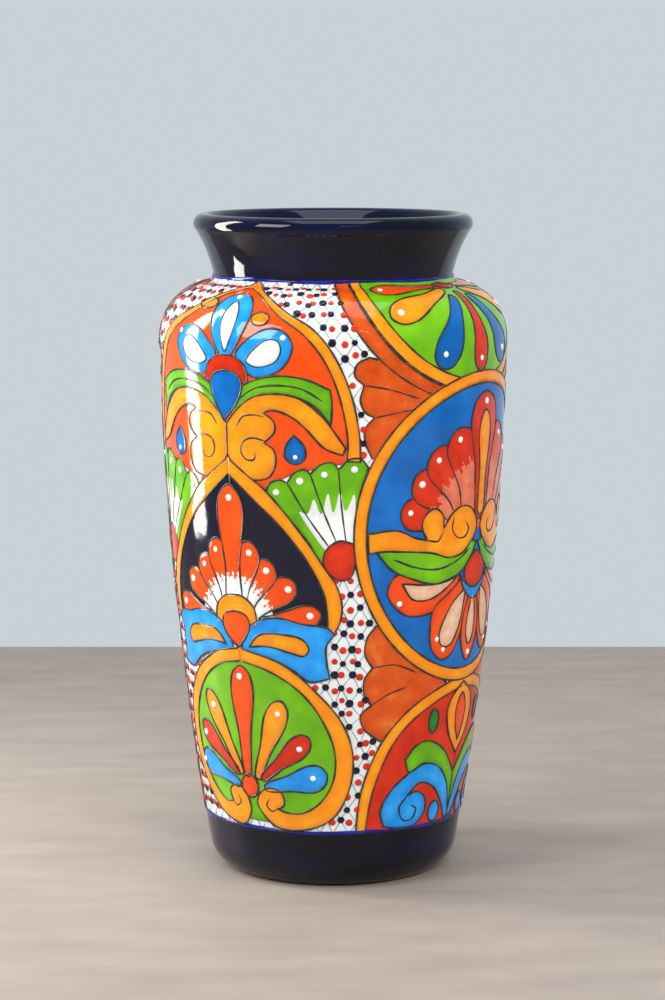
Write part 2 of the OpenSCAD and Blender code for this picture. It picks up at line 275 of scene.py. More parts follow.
# %% Baking a tree into a finished piece
def outward(mesh):
    """Turns a closed mesh's faces outwards if its volume comes out negative."""
    solid = bmesh.new()
    solid.from_mesh(mesh)
    if solid.calc_volume(signed=True) < 0:
        bmesh.ops.reverse_faces(solid, faces=solid.faces)
    solid.to_mesh(mesh)
    solid.free()


def finished(name, mesh, slot, *nodes):
    """A plain mesh as a piece of the vase, in place of these CAD nodes."""
    outward(mesh)
    piece = bpy.data.objects.new(name, mesh)
    bpy.context.scene.collection.objects.link(piece)
    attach(piece, "root")
    if nodes:
        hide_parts(*nodes)
    return piece


def baked(name, mesh, tree, slot, *nodes, **inputs):
    """Runs the tree on a mesh and keeps the result."""
    source = bpy.data.objects.new(name + "_source", mesh)
    bpy.context.scene.collection.objects.link(source)
    modifier = source.modifiers.new(tree.name, "NODES")
    modifier.node_group = tree
    for item in tree.interface.items_tree:
        if item.in_out == "INPUT" and item.name in inputs:
            modifier[item.identifier] = inputs[item.name]
    source.update_tag()
    seen = source.evaluated_get(bpy.context.evaluated_depsgraph_get())
    result = bpy.data.meshes.new_from_object(seen)
    bpy.data.objects.remove(source)
    print(name, len(result.vertices), "vertices")
    return finished(name, result, slot, *nodes)


STEPS_ROUND = 200


def coat(name, line, material, slot, *nodes):
    """A closed coat turned from its outer line, in steps that keep within 0.02 mm of a circle."""
    inner = line - normals(line) * GLAZE
    loop = np.concatenate([line, inner[::-1], line[:1]])
    mesh = bpy.data.meshes.new(name)
    mesh.from_pydata([(r, 0, z) for r, z in loop], [(i, i + 1) for i in range(len(loop) - 1)], [])
    return baked(name, mesh, turning, slot, *nodes,
                 Segments=STEPS_ROUND, Points=len(loop), Material=material)


coat("white_body_coat", body_line, tin_white, "white_glaze", "body_glaze")
coat("cobalt_foot_coat", foot_line, cobalt, "cobalt_glaze", "foot_glaze")
coat("cobalt_neck_coat", neck_line, cobalt, "cobalt_glaze", "neck_glaze")
for node in ("base_slab", "lower_wall", "shoulder", "neck_collar", "rim_roll", "foot_ring"):
    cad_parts[node].data.materials.clear()
    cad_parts[node].data.materials.append(clay)
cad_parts["inner_glaze"].data.materials.clear()
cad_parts["inner_glaze"].data.materials.append(cobalt_wash)

# %% [markdown]
# ## The painter's map
# The painter works round the vase and up it. So the pattern is drawn on a flat map in millimetres:
# x round the vase, as on a circle of 100 mm radius, and t up the wall from the foot band to the neck.
# One function lays the map on the glaze. The map stretches with the frame, so another size of vase
# keeps its pattern.

# %% From the map to the glaze
GIRTH = 628
RISE = 345
run = np.concatenate([[0], np.cumsum(np.linalg.norm(np.diff(body_line, axis=0), axis=1))])
body_normals = normals(body_line)


def on_glaze(drawn, lift):
    """Map points (x, t), in mm, as places on the glaze raised by lift mm."""
    drawn = np.asarray(drawn, float)
    way = drawn[:, 1] / RISE * run[-1]
    r, z, nr, nz = [np.interp(way, run, v) for v in (*body_line.T, *body_normals.T)]
    turn = drawn[:, 0] / GIRTH * 2 * math.pi
    out = r + nr * np.asarray(lift) * MM
    return np.stack([out * np.sin(turn), -out * np.cos(turn), z + nz * np.asarray(lift) * MM], axis=1)


def on_column(drawn, column):
    """Map points moved from the middle they were drawn about to a column's, and squeezed."""
    origin, axis, squeeze = column
    return (np.asarray(drawn, float) - (origin, 0)) * (squeeze, 1) + (axis, 0)


def facing(drawn):
    """The glaze's outward direction at map points."""
    return (on_glaze(drawn, 1) - on_glaze(drawn, 0)) / MM


print("wall from foot band to neck:", round(run[-1] / MM, 1), "mm")

# %% [markdown]
# ## Raised enamel
# Talavera enamel stands proud of the glaze, with a soft edge. Each patch is a thin pillow: its outline
# and evenly spaced points inside it are triangulated on the map, the top rises over the first
# millimetre from the edge, and the underside is sunk in the white coat. Where a colour fades into
# another, the faces nearer to the stroke's root than a ragged line take the second colour.

# %% Outlines drawn with a few points
CORNER = "corner"
# Each column: the middle its shapes are drawn about, its own middle, and its squeeze.
FEATHER = [(0, -64, 1.0), (0, 255, 0.9)]
ROUNDEL = [(101, 101, 1.0), (101, 410, 0.9)]


def shape(*points, closed=True, step=1.6):
    """A smooth outline through points; a point marked CORNER stays sharp."""
    places = [p[:2] for p in points]
    sharp = [i for i, p in enumerate(points) if len(p) > 2]
    if not closed:
        sharp = sorted({0, len(points) - 1, *sharp})
    if not sharp:
        return through(places, step, closed=True)
    places = places[sharp[0]:] + places[:sharp[0]] + ([places[sharp[0]]] if closed else [])
    stops = [i - sharp[0] for i in sharp] + ([len(points)] if closed else [])
    pieces = [through(places[a:b + 1], step)[:-1] for a, b in zip(stops, stops[1:])]
    return np.concatenate(pieces + ([] if closed else [[places[-1]]]))


def flipped(outline, axis=0):
    """The mirror image of an outline about x = axis."""
    return np.array(outline)[::-1] * (-1, 1) + (2 * axis, 0)


def both(*outlines, axis=0):
    """Outlines and their mirror images."""
    return [*outlines] + [flipped(o, axis) for o in outlines]


def petal(root, tip, half, root_half=0.2, fullest=0.76):
    """A petal from root to tip, half wide at its fullest."""
    root, tip = np.array(root, float), np.array(tip, float)
    along = tip - root
    side = np.array([-along[1], along[0]]) / np.linalg.norm(along) * half
    right = [(0, root_half), (0.4, 0.58), (fullest, 1.0), (0.93, 0.72)]
    points = [root + along * s + side * w for s, w in right] + [tip]
    points += [root + along * s - side * w for s, w in right[::-1]]
    return through(points, 1.6, closed=True)


def ring(centre, rx, ry, count=12):
    """An ellipse of count points."""
    turns = [2 * math.pi * i / count for i in range(count)]
    return through([(centre[0] + rx * math.cos(a), centre[1] + ry * math.sin(a)) for a in turns], 1.6, True)


# %% Pillows of enamel
def crossings(points, loop):
    """True where points are inside a loop."""
    a, b = loop, np.roll(loop, -1, axis=0)
    x, y = points[:, 0][:, None], points[:, 1][:, None]
    level = (a[:, 1] > y) != (b[:, 1] > y)
    rise = np.where(b[:, 1] == a[:, 1], 1e-9, b[:, 1] - a[:, 1])
    left = x < (b[:, 0] - a[:, 0]) * (y - a[:, 1]) / rise + a[:, 0]
    return (level & left).sum(axis=1) % 2 == 1


def reach(points, loop):
    """Distance of points from a loop's line."""
    a, b = loop, np.roll(loop, -1, axis=0)
    ab = b - a
    span = np.maximum((ab ** 2).sum(axis=1), 1e-12)
    s = (((points[:, None] - a) * ab).sum(axis=2) / span).clip(0, 1)
    return np.linalg.norm(points[:, None] - a - s[..., None] * ab, axis=2).min(axis=1)


EDGE = 0.9
SOFT = 0.14
UNDERSIDE = -0.15
POOL = 3.0
DEPTH_OF_POOL = 0.55
BAND_SPACING = 2.0


def pillow(loops, spacing):
    """Map points, their distance from the edge, and triangles inside the loops."""
    loops = [np.asarray(loop, float) for loop in loops]
    rim = np.concatenate(loops)
    edges = []
    for loop in loops:
        first = len(edges)
        edges += [(first + i, first + (i + 1) % len(loop)) for i in range(len(loop))]
    across = normals(np.concatenate([loops[0][-1:], loops[0], loops[0][:1]]))[1:-1]
    inset = np.concatenate([loops[0] + across * EDGE, loops[0] - across * EDGE])
    (x0, t0), (x1, t1) = rim.min(axis=0), rim.max(axis=0)
    rows = np.arange(t0, t1, spacing * 0.87)
    hexed = [(x + spacing / 2 * (i % 2), t) for i, t in enumerate(rows) for x in np.arange(x0, x1, spacing)]
    kept = [rim]
    for cloud, gap in ((inset, EDGE * 0.9), (np.array(hexed), EDGE + spacing * 0.4)):
        inside = np.logical_xor.reduce([crossings(cloud, loop) for loop in loops])
        clear = np.min([reach(cloud, loop) for loop in loops], axis=0) > gap
        kept.append(cloud[inside & clear])
    corners = np.concatenate(kept)
    made = delaunay_2d_cdt([Vector(p) for p in corners], edges, [], 0, 1e-6)
    flat = np.array([v[:] for v in made[0]])
    faces = np.array([f for f in made[2] if len(f) == 3])
    middles = flat[faces].mean(axis=1)
    faces = faces[np.logical_xor.reduce([crossings(middles, loop) for loop in loops])]
    return flat, np.min([reach(flat, loop) for loop in loops], axis=0), faces


def enamel(name, outlines, columns, level, material, *nodes, spacing=4.0, fade=None):
    """Raised patches on each column. fade is (root, distance, second material)."""
    corners, faces, tones, pools = [], [], [], []
    for outline in outlines:
        loops = outline if isinstance(outline, tuple) else (outline,)
        flat, edge, triangles = pillow(loops, 1.8 if fade else spacing)
        lift = level - SOFT * (1 - (edge / EDGE).clip(0, 1)) ** 2
        tone = np.zeros(len(triangles), int)
        if fade:
            middle = flat[triangles].mean(axis=1) - fade[0]
            bearing = np.arctan2(middle[:, 1], middle[:, 0])
            ragged = 2.2 * np.sin(41 * bearing) + 1.6 * np.sin(97 * bearing + 1)
            tone = (np.linalg.norm(middle, axis=1) < fade[1] + ragged).astype(int)
        walls = edges_once(triangles)
        for column in columns:
            placed = on_column(flat, column)
            first, under = len(corners), len(corners) + len(flat)
            corners += [*on_glaze(placed, lift), *on_glaze(placed, UNDERSIDE)]
            faces += [tuple(f) for f in triangles + first]
            faces += [tuple(f[::-1]) for f in triangles + under]
            faces += [(b + first, a + first, a + under, b + under) for a, b in walls]
            tones += [*tone, *tone, *[0] * len(walls)]
            pools += [*(1 - edge / POOL).clip(0, 1) * DEPTH_OF_POOL] * 2
    mesh = bpy.data.meshes.new(name)
    mesh.from_pydata(corners, [], faces)
    mesh.materials.append(material)
    if fade:
        mesh.materials.append(fade[2])
    mesh.polygons.foreach_set("material_index", tones)
    mesh.attributes.new("pool", "FLOAT", "POINT").data.foreach_set("value", pools)
    mesh.shade_smooth()
    print(name, len(faces), "faces")
    return finished(name, mesh, slot_of[material.name], *nodes)


def edges_once(triangles):
    """The directed edges that only one triangle has."""
    edges = {(int(f[i]), int(f[(i + 1) % 3])) for f in triangles for i in range(3)}
    return [(a, b) for a, b in edges if (b, a) not in edges]


# %% [markdown]
# ## Brushed outlines and dots
# A loaded brush leaves a low bead that swells and thins, and a dot of slip is a flat drop. Both are
# repeated hundreds of times, so trees make them: one sweeps a low bead along every stroke, the other
# sets a drop on every point. Width and the glaze's direction travel with the points as attributes.

# %% Trees for strokes and dots
brushing, given = new_tree("brushed_bead", Flatness="Float", Material="Material")
width = add(brushing, "GeometryNodeInputNamedAttribute", {"Name": "width"}, data_type="FLOAT")
facing_up = add(brushing, "GeometryNodeInputNamedAttribute", {"Name": "up"}, data_type="FLOAT_VECTOR")
curve = add(brushing, "GeometryNodeMeshToCurve", {"Mesh": given["Geometry"]})
tilted = add(brushing, "GeometryNodeSetCurveNormal",
             {"Curve": curve.outputs[0], "Normal": facing_up.outputs[0]}, mode="FREE")
bead = add(brushing, "GeometryNodeCurvePrimitiveCircle", {"Resolution": 6, "Radius": 1.0}, mode="RADIUS")
squash = add(brushing, "ShaderNodeCombineXYZ", {0: given["Flatness"], 1: 1.0, 2: 1.0})
low_bead = add(brushing, "GeometryNodeTransform", {"Geometry": bead.outputs[0], "Scale": squash.outputs[0]})
swept = add(brushing, "GeometryNodeCurveToMesh",
            {"Curve": tilted.outputs[0], "Profile Curve": low_bead.outputs[0],
             "Scale": width.outputs[0], "Fill Caps": True})
end_tree(brushing, swept.outputs[0], given["Material"])

dotting, given = new_tree("brushed_dots", Flatness="Float", Spread="Float", Seed="Int", Material="Material")
width = add(dotting, "GeometryNodeInputNamedAttribute", {"Name": "width"}, data_type="FLOAT")
facing_up = add(dotting, "GeometryNodeInputNamedAttribute", {"Name": "up"}, data_type="FLOAT_VECTOR")
aim = add(dotting, "FunctionNodeAlignRotationToVector", {"Vector": facing_up.outputs[0]}, axis="Z")
drop = add(dotting, "GeometryNodeMeshUVSphere", {"Segments": 12, "Rings": 6, "Radius": 1.0})
squash = add(dotting, "ShaderNodeCombineXYZ", {0: 1.0, 1: 1.0, 2: given["Flatness"]})
flat_drop = add(dotting, "GeometryNodeTransform", {"Geometry": drop.outputs[0], "Scale": squash.outputs[0]})
thin = reckon(dotting, "SUBTRACT", 1.0, given["Spread"])
wide = reckon(dotting, "ADD", 1.0, given["Spread"])
chance = add(dotting, "FunctionNodeRandomValue",
             {2: thin, 3: wide, "Seed": given["Seed"]}, data_type="FLOAT")
grown = reckon(dotting, "MULTIPLY", width.outputs[0], chance.outputs[1])
drops = add(dotting, "GeometryNodeInstanceOnPoints",
            {"Points": given["Geometry"], "Instance": flat_drop.outputs[0],
             "Rotation": aim.outputs[0], "Scale": grown})
end_tree(dotting, drops.outputs[0], given["Material"])


# %% Collecting strokes and dots
BEAD_FLATNESS = 0.38
DROP_FLATNESS = 0.3
DROP_SPREAD = 0.16
SWELL = 0.22
TREMBLE = 0.12
# Half the width of the brushed lines, in mm, on petals and on frames.
PETAL_LINE = 0.62
FRAME_LINE = 0.55


def carried(name, places, edges, widths, ups):
    """A mesh of points and edges that carries a width and a direction on each point."""
    mesh = bpy.data.meshes.new(name)
    mesh.from_pydata([tuple(p) for p in places], edges, [])
    mesh.attributes.new("width", "FLOAT", "POINT").data.foreach_set("value", np.ravel(widths))
    mesh.attributes.new("up", "FLOAT_VECTOR", "POINT").data.foreach_set("vector", np.ravel(ups))
    return mesh


def strokes(name, lines, columns, level, half, material=outline_ink, closed=True, under=()):
    """Beads along lines on each column, half wide in mm. What is inside the loops in under isn't drawn.

    under is one list of loops for all the lines, or a function that gives a line's list from its number."""
    places, edges, widths, ups = [], [], [], []
    for number, line in enumerate(lines):
        line = np.asarray(line, float)
        covers = under(number) if callable(under) else under
        shown = ~np.logical_or.reduce([np.zeros(len(line), bool), *[crossings(line, c) for c in covers]])
        along = np.arange(len(line))
        swell = half * MM * (1 + SWELL * np.sin(along * 0.37 + number) + TREMBLE * np.sin(along * 1.1))
        if not closed:
            swell = swell * np.minimum(1, 0.35 + np.minimum(along, along[::-1]) / 4)
        for column in columns:
            placed = on_column(line, column)
            first = len(places)
            places += [*on_glaze(placed, level)]
            widths += [*swell]
            ups += [*facing(placed)]
            steps = [(i, (i + 1) % len(line)) for i in range(len(line) - (not closed))]
            edges += [(first + a, first + b) for a, b in steps if shown[a] and shown[b]]
    mesh = carried(name + "_lines", places, edges, widths, ups)
    return baked(name, mesh, brushing, slot_of[material.name],
                 Flatness=BEAD_FLATNESS, Material=material)


def dots(name, points, columns, level, half, material=slip, seed=1):
    """Flat drops on points of each column, half wide in mm."""
    placed = np.concatenate([on_column(points, column) for column in columns])
    mesh = carried(name + "_points", on_glaze(placed, level), [], [half * MM] * len(placed), facing(placed))
    return baked(name, mesh, dotting, slot_of[material.name],
                 Flatness=DROP_FLATNESS, Spread=DROP_SPREAD, Seed=seed, Material=material)


def drawn_petals(name, outlines, columns, level, material, under=(), nodes=(), **more):
    """Petals with a dark brushed outline; later ones lie over earlier ones, and under over them all."""
    enamel(name, outlines, columns, level, material, *nodes, **more)
    strokes(name + "_outline", outlines, columns, level, PETAL_LINE,
            under=lambda number: [*under, *outlines[number + 1:]])


def middle_line(axis):
    """A narrow loop along an axis, under which the joins of mirrored halves aren't outlined."""
    return np.array([(axis - 0.8, -9), (axis + 0.8, -9), (axis + 0.8, RISE + 9), (axis - 0.8, RISE + 9)])

# %% [markdown]
# ## Feather panel
# Under the neck, a yellow frame holds a flame-orange field. Three blue petals with white insets rise
# from a red bud over a blue drop; green leaves and a yellow scroll with curls spread below. Most
# shapes are drawn on one side of the panel's middle, and a mirror gives the other half.

# %% Feather panel: frame and field
PANEL = 0.30
arch_outer = [(14, 216.5), (24.4, 208.7), (38.2, 193.2), (48.6, 179.4), (59, 163.8), (65.9, 153.4),
              (69.3, 141.4), (68.1, 131), (62, 120, CORNER)]
arch_inner = [(60, 122, CORNER), (60.7, 132.7), (59, 146.5), (52.1, 162.1), (41.7, 177.6), (31.3, 189.7),
              (14, 205.3)]
arch_band = shape((0, 227, CORNER), *arch_outer, *arch_inner, (0, 217.5, CORNER))
arch_field = shape((0, 222, CORNER), (14, 211), (31, 193), (50, 168), (62, 147), (63, 128, CORNER),
                   (30, 108, CORNER), (0, 106, CORNER))
ARCH_COVER = both(arch_band, arch_field)
feather_outer = [(4.6, 341.7), (12.3, 333), (24.4, 322.7), (38.2, 312.4), (52.1, 303.7), (62.4, 291.6),
                 (72.8, 269.2), (78.8, 241.5), (79.4, 226.3, CORNER)]
feather_inner = [(71.9, 226.9, CORNER), (71.9, 241.5), (65.9, 269.2), (57.2, 288.2), (46.9, 300.3),
                 (31.3, 311.5), (12.3, 328)]
feather_band = shape((0, 344, CORNER), *feather_outer, *feather_inner, (0, 336, CORNER))
fan_top = [(71, 225.5), (57, 222.5), (43, 219.4), (30, 213), (24.4, 208.7, CORNER), (14, 216.5)]
feather_field = shape((0, 339, CORNER), (14, 330), (32, 314), (50, 301), (61, 289), (69, 270), (75, 242),
                      (75, 226, CORNER), *fan_top, (0, 226, CORNER))
enamel("feather_field", both(feather_field), FEATHER, PANEL, flame, "feather_panel_ground")
enamel("feather_frame", both(feather_band), FEATHER, PANEL + 0.15, yellow, "feather_panel_frame",
       spacing=BAND_SPACING)
strokes("feather_frame_outline", both(feather_band), FEATHER, PANEL + 0.15, FRAME_LINE,
        under=[middle_line(0)])

# %% Feather panel: blue petals on their bud
middle_feather = shape((0, 327.4), (8, 325), (13, 318), (14, 311), (11, 300), (6, 290), (0, 282, CORNER),
                       (-6, 290), (-11, 300), (-14, 311), (-13, 318), (-8, 325))
side_feather = shape((7, 288), (14, 296), (22, 301.5), (29.6, 303.4), (37, 301), (41.5, 294), (40, 287),
                     (36, 281), (31, 277.5), (22, 275), (17, 275.5), (9, 283))
middle_white = shape((0, 320.5), (4.5, 314), (5, 305), (3, 296), (0, 289), (-3, 296), (-5, 305),
                     (-4.5, 314))
side_white = shape((14, 284), (19, 291), (27, 296.5), (33, 296), (35, 291), (32, 284.5), (26, 281.5),
                   (19, 281))
bud_arc = shape((-15, 272, CORNER), (-13, 281), (-7, 286), (0, 287), (7, 286), (13, 281),
                (15, 272, CORNER), (11.5, 271), (7, 276), (0, 278), (-7, 276), (-11.5, 271))
bud_drop = shape((0, 278), (9, 275), (11, 269), (8, 260), (-1.5, 248.5, CORNER), (-8, 260), (-11, 269),
                 (-9, 275))
feathers = [middle_feather, *both(side_feather)]
drawn_petals("blue_feathers", feathers, FEATHER, PANEL + 0.2, sky, under=[bud_arc, bud_drop])
enamel("white_feather_insets", [middle_white, *both(side_white)], FEATHER, PANEL + 0.3, slip)
strokes("inset_outlines", [middle_white, *both(side_white)], FEATHER, PANEL + 0.26, 0.45)
drawn_petals("feather_bud", [bud_arc], FEATHER, PANEL + 0.26, red, under=[bud_drop])
drawn_petals("feather_drop", [bud_drop], FEATHER, PANEL + 0.36, blue)
berries = [ring((20.5, 309), 5.7, 4.3, 8), ring((-23, 318.4), 8, 4, 8)]
drawn_petals("yellow_berries", berries, FEATHER, PANEL + 0.2, yellow)
dots("feather_dots", [(-0.4, 324), (36, 298), (-38, 299)], FEATHER, PANEL + 0.42, 1.9)

# %% Feather panel: leaves and scroll
feather_leaf = shape((2, 255, CORNER), (7, 265.7), (17.5, 272.6), (31.3, 276), (48.6, 274.4),
                     (62.4, 268.3, CORNER), (63.3, 260.6), (62.8, 247.6, CORNER), (53.8, 258.8),
                     (41.7, 264.4), (29.6, 265.7), (17.5, 262.3), (7, 252, CORNER))
scroll = shape((0, 247, CORNER), (7.1, 255.4), (17.5, 263.1), (29.6, 265.7), (45, 263.1), (57.2, 253.6),
               (71, 234.6, CORNER), (69.3, 230.3, CORNER), (59, 234.6), (48.6, 245.9), (40, 252.8),
               (29.6, 256.2), (24, 254.5, CORNER), (30, 250), (30.8, 244), (26, 238.5), (24, 237, CORNER),
               (30, 233), (31, 225), (27, 217), (17.5, 214.8), (7, 219), (0, 229, CORNER))
scroll_curl = shape((25, 238, CORNER), (17, 239.5), (11, 237), (9.5, 231), (13, 226.5), (18, 227),
                    (18.5, 231), closed=False)
upper_lobe = shape((7, 246, CORNER), (11, 251.5), (18, 253), (24.5, 252), closed=False)
leaf_vein = shape((8, 261), (18, 268), (30, 270.5), (46, 269), (58, 262), closed=False)
small_drop = shape((42, 242, CORNER), (37, 235), (37, 228), (42.6, 224.8), (48, 228), (48, 235))
drawn_petals("feather_leaves", both(feather_leaf), FEATHER, PANEL + 0.24, green,
             under=[bud_drop, *both(scroll), *ARCH_COVER])
drawn_petals("feather_scrolls", both(scroll), FEATHER, PANEL + 0.28, yellow,
             under=[bud_drop, *ARCH_COVER])
drawn_petals("small_blue_drops", both(small_drop), FEATHER, PANEL + 0.2, blue)
strokes("feather_curls", both(scroll_curl, upper_lobe, leaf_vein), FEATHER, PANEL + 0.3, 0.6,
        closed=False)
dots("drop_dots", [(42.6, 229), (-42.6, 229)], FEATHER, PANEL + 0.36, 1.5, seed=2)

# %% [markdown]
# ## Navy panel
# A yellow pointed arch frames a navy field. A fan of orange petals fades to white slip at its root,
# over a yellow arc and blue wings with yellow insets that spread past the frame.

# %% Navy panel
ARCH = 0.56
enamel("navy_field", both(arch_field), FEATHER, ARCH, navy, "navy_panel_ground")
enamel("navy_frame", both(arch_band), FEATHER, ARCH + 0.14, yellow, "navy_panel_frame",
       spacing=BAND_SPACING)
fan_petals = [petal((2, 130), (13, 178), 8.5, 0.4, 0.8), petal((4, 130), (26, 167), 8.5, 0.4, 0.8),
              petal((6, 129), (41, 155), 8, 0.4, 0.8), petal((8, 127), (57, 136), 7, 0.4, 0.8)]
fan_middle = petal((0, 131), (0, 211), 9.5, 0.5, 0.8)
heart_arc = shape((-16, 127, CORNER), (-14, 138), (-7, 144), (0, 145), (7, 144), (14, 138),
                  (16, 127, CORNER))
heart_drop = shape((0, 135), (8, 133), (10.5, 128), (8, 121), (1, 113, CORNER), (-8, 121), (-10.5, 128),
                   (-8, 133))
wing = shape((3, 112, CORNER), (6, 121), (12, 128), (21, 132), (31, 133), (45, 130), (60, 128),
             (65, 124, CORNER), (60, 117), (60, 107), (62, 97, CORNER), (49, 95), (38, 102), (23, 108))
strokes("navy_frame_outline", both(arch_band), FEATHER, ARCH + 0.14, FRAME_LINE,
        under=[middle_line(0), *both(wing)])
enamel("white_fan_roots", [ring((0, 134), 27, 22)], FEATHER, ARCH + 0.06, slip)
drawn_petals("orange_fan", both(*fan_petals[::-1]), FEATHER, ARCH + 0.2, flame,
             under=[fan_middle, heart_arc, heart_drop, *both(wing)], fade=((0, 130), 26, slip))
drawn_petals("orange_fan_middle", [fan_middle], FEATHER, ARCH + 0.26, flame,
             under=[heart_arc, heart_drop], fade=((0, 130), 26, slip))
fan_dots = [(0, 203), (12.5, 171), (23.5, 161), (37, 150.5), (50, 135)]
dots("navy_fan_dots", fan_dots + [(-x, t) for x, t in fan_dots[1:]], FEATHER, ARCH + 0.4, 1.9, seed=3)
drawn_petals("yellow_heart_arc", [heart_arc], FEATHER, ARCH + 0.28, yellow,
             under=[heart_drop, *both(wing)])
drawn_petals("orange_heart_drop", [heart_drop], FEATHER, ARCH + 0.36, flame)

# %% Blue wings
wing_inset = shape((9, 114, CORNER), (14, 120), (18, 122.4), (31.3, 123.2), (45, 120.6), (49, 114.6),
                   (46, 110.6), (38, 112), (24.4, 115), (16, 115))
drawn_petals("wings", both(wing), FEATHER, ARCH + 0.24, sky, under=[heart_drop], nodes=["blue_wings"])
drawn_petals("wing_insets", both(wing_inset), FEATHER, ARCH + 0.32, yellow)

# %% [markdown]
# ## Green roundel
# A yellow ring that ends in two curls holds a green field. Petals in orange, yellow, red and blue
# spread like a fan from a small orange disc, with a white slip dot near each tip.

# %% Green roundel
ROUND = 0.70
ring_right = [(31.3, 105), (52.1, 89.5), (69.3, 70.5), (77.1, 51.5), (76.2, 30.8), (65.9, 11.8),
              (48.6, 3.2), (22.7, 2.3), (12.3, 8.3), (6.3, 17), (10.5, 24.5), (19, 27.2), (27, 24),
              (28, 17), (23, 14.5, CORNER), (27.9, 12.7), (41.7, 12.7), (55.5, 20.4), (64.2, 34.2),
              (65, 51.5), (57.2, 70.5), (43.4, 87.8), (22.7, 99.9)]
ring_left = [(-15, 109.4), (-34.3, 99.9), (-49.9, 86), (-60, 68.8), (-62, 51.5), (-58, 34), (-40, 13),
             (-24, 3.9), (-7, 2.3), (0, 11.8), (-4, 23), (-12, 26.5), (-19, 22), (-17, 15, CORNER),
             (-26, 15), (-42, 27), (-51, 43), (-52, 60), (-44, 78), (-30, 93), (-14, 102)]
ring_line = shape((2, 112.9, CORNER), *ring_right, (2, 105, CORNER))
ring_line_left = shape((2, 105, CORNER), *ring_left[::-1], (2, 112.9, CORNER))
green_field = shape((2, 109), (31, 101), (50, 87), (64, 70), (71, 51), (70, 32), (60, 15), (45, 7),
                    (20, 5), (-10, 6), (-30, 8), (-48, 30), (-57, 52), (-52, 74), (-38, 91), (-18, 105))
enamel("green_field", [green_field], FEATHER, ROUND, green, "green_roundel_ground")
roundel_petals = {
    "blue_roundel_petals": (sky, [petal((14, 27), (60, 37), 8.5), petal((-8, 27), (-50, 40), 7.5)]),
    "red_roundel_petals": (red, [petal((12, 32), (48, 60), 7), petal((-8, 34), (-45, 61), 7)]),
    "yellow_roundel_petals": (yellow, [petal((8, 32.5), (30, 82), 8), petal((-5, 34), (-33, 83), 7)]),
    "orange_roundel_petal": (flame, [petal((0, 33), (1, 102), 9)])}
for name, (material, outlines) in roundel_petals.items():
    drawn_petals(name, outlines, FEATHER, ROUND + 0.2, material)
enamel("roundel_ring", [ring_line, ring_line_left], FEATHER, ROUND + 0.3, yellow, "green_roundel_frame",
       spacing=BAND_SPACING)
ring_curls = [shape((23, 14.5), (18, 12.5), (14, 16), (17, 20.5), closed=False),
              shape((-17, 15), (-12.5, 13), (-9, 16.5), (-12, 20.5), closed=False)]
strokes("roundel_ring_curls", ring_curls, FEATHER, ROUND + 0.32, 0.5, closed=False)
strokes("roundel_ring_outline", [ring_line, ring_line_left], FEATHER, ROUND + 0.3, FRAME_LINE,
        under=[middle_line(2)])
drawn_petals("roundel_disc", [ring((1, 27), 7.2, 7.2, 8)], FEATHER, ROUND + 0.34, flame)
dots("roundel_dots", [(0, 95), (27, 74), (-27, 74), (41, 53), (-41, 55), (50, 35), (-48, 37)], FEATHER,
     ROUND + 0.42, 2.0, seed=4)

# %% [markdown]
# ## Green fans
# Between the arch and the big blue roundel a green fan opens: four lobes at the top, petal lines
# down to the root, the green fading to white slip on the way, and a red heart at the root.

# %% Green fans
FAN = 0.36
# The rear column is a little narrower, so that its fans clear the roundels beside them.
FAN_COLUMNS = [(0, -64, 1.0), (0, 255, 0.84)]
fan = shape((24.4, 207, CORNER), (27, 213), (33, 215.5), (37.5, 214, CORNER), (42, 220), (48, 222),
            (51, 219.5, CORNER), (57, 225), (64, 226), (67, 222, CORNER), (73, 228), (80, 228),
            (84, 223, CORNER), (80, 210), (77, 195), (77, 170, CORNER), (66, 158, CORNER), (57, 166),
            (48, 181))
fan_ribs = [shape((37.5, 214), (50, 193), (64, 173), closed=False),
            shape((51, 219.5), (59, 196), (68, 174), closed=False),
            shape((67, 222), (69, 198), (72, 175), closed=False)]
fan_heart = shape((58, 168), (61, 176), (68, 180), (76, 178, CORNER), (77, 166), (74, 158), (67, 156.5),
                  (61, 161))
enamel("green_fan_lobes", both(fan), FAN_COLUMNS, FAN, green, "green_fans")
fan_slip = [shape((62, 172), (52, 184), (44, 198), (49, 196), (53, 205), (57, 196), (61, 209), (64, 197),
                  (68, 210), (71, 198), (76, 208), (76, 180), (72, 170))]
enamel("fan_slip_brush", both(*fan_slip), FAN_COLUMNS, FAN + 0.1, slip)
fan_cover = [*ARCH_COVER, *both(ring((165, 182), 89, 93.5, 20))]
strokes("fan_outline", both(fan), FAN_COLUMNS, FAN + 0.05, 0.6, under=[*fan_cover, *both(fan_heart)])
strokes("fan_ribs", both(*fan_ribs), FAN_COLUMNS, FAN + 0.15, 0.5, closed=False, under=both(fan_heart))
drawn_petals("fan_hearts", both(fan_heart), FAN_COLUMNS, FAN + 0.16, red, under=fan_cover)
fan_spots = [(31, 208), (45, 215), (59, 219), (76, 222)]
dots("fan_dots", fan_spots + [(-x, t) for x, t in fan_spots], FAN_COLUMNS, FAN + 0.2, 1.9, seed=5)

# %% [markdown]
# ## Blue roundel
# The biggest panel: a yellow ring round a blue field. A red flower with a yellow heart stands on a
# yellow scroll and green leaves; a red bud and peach-washed petals hang below.

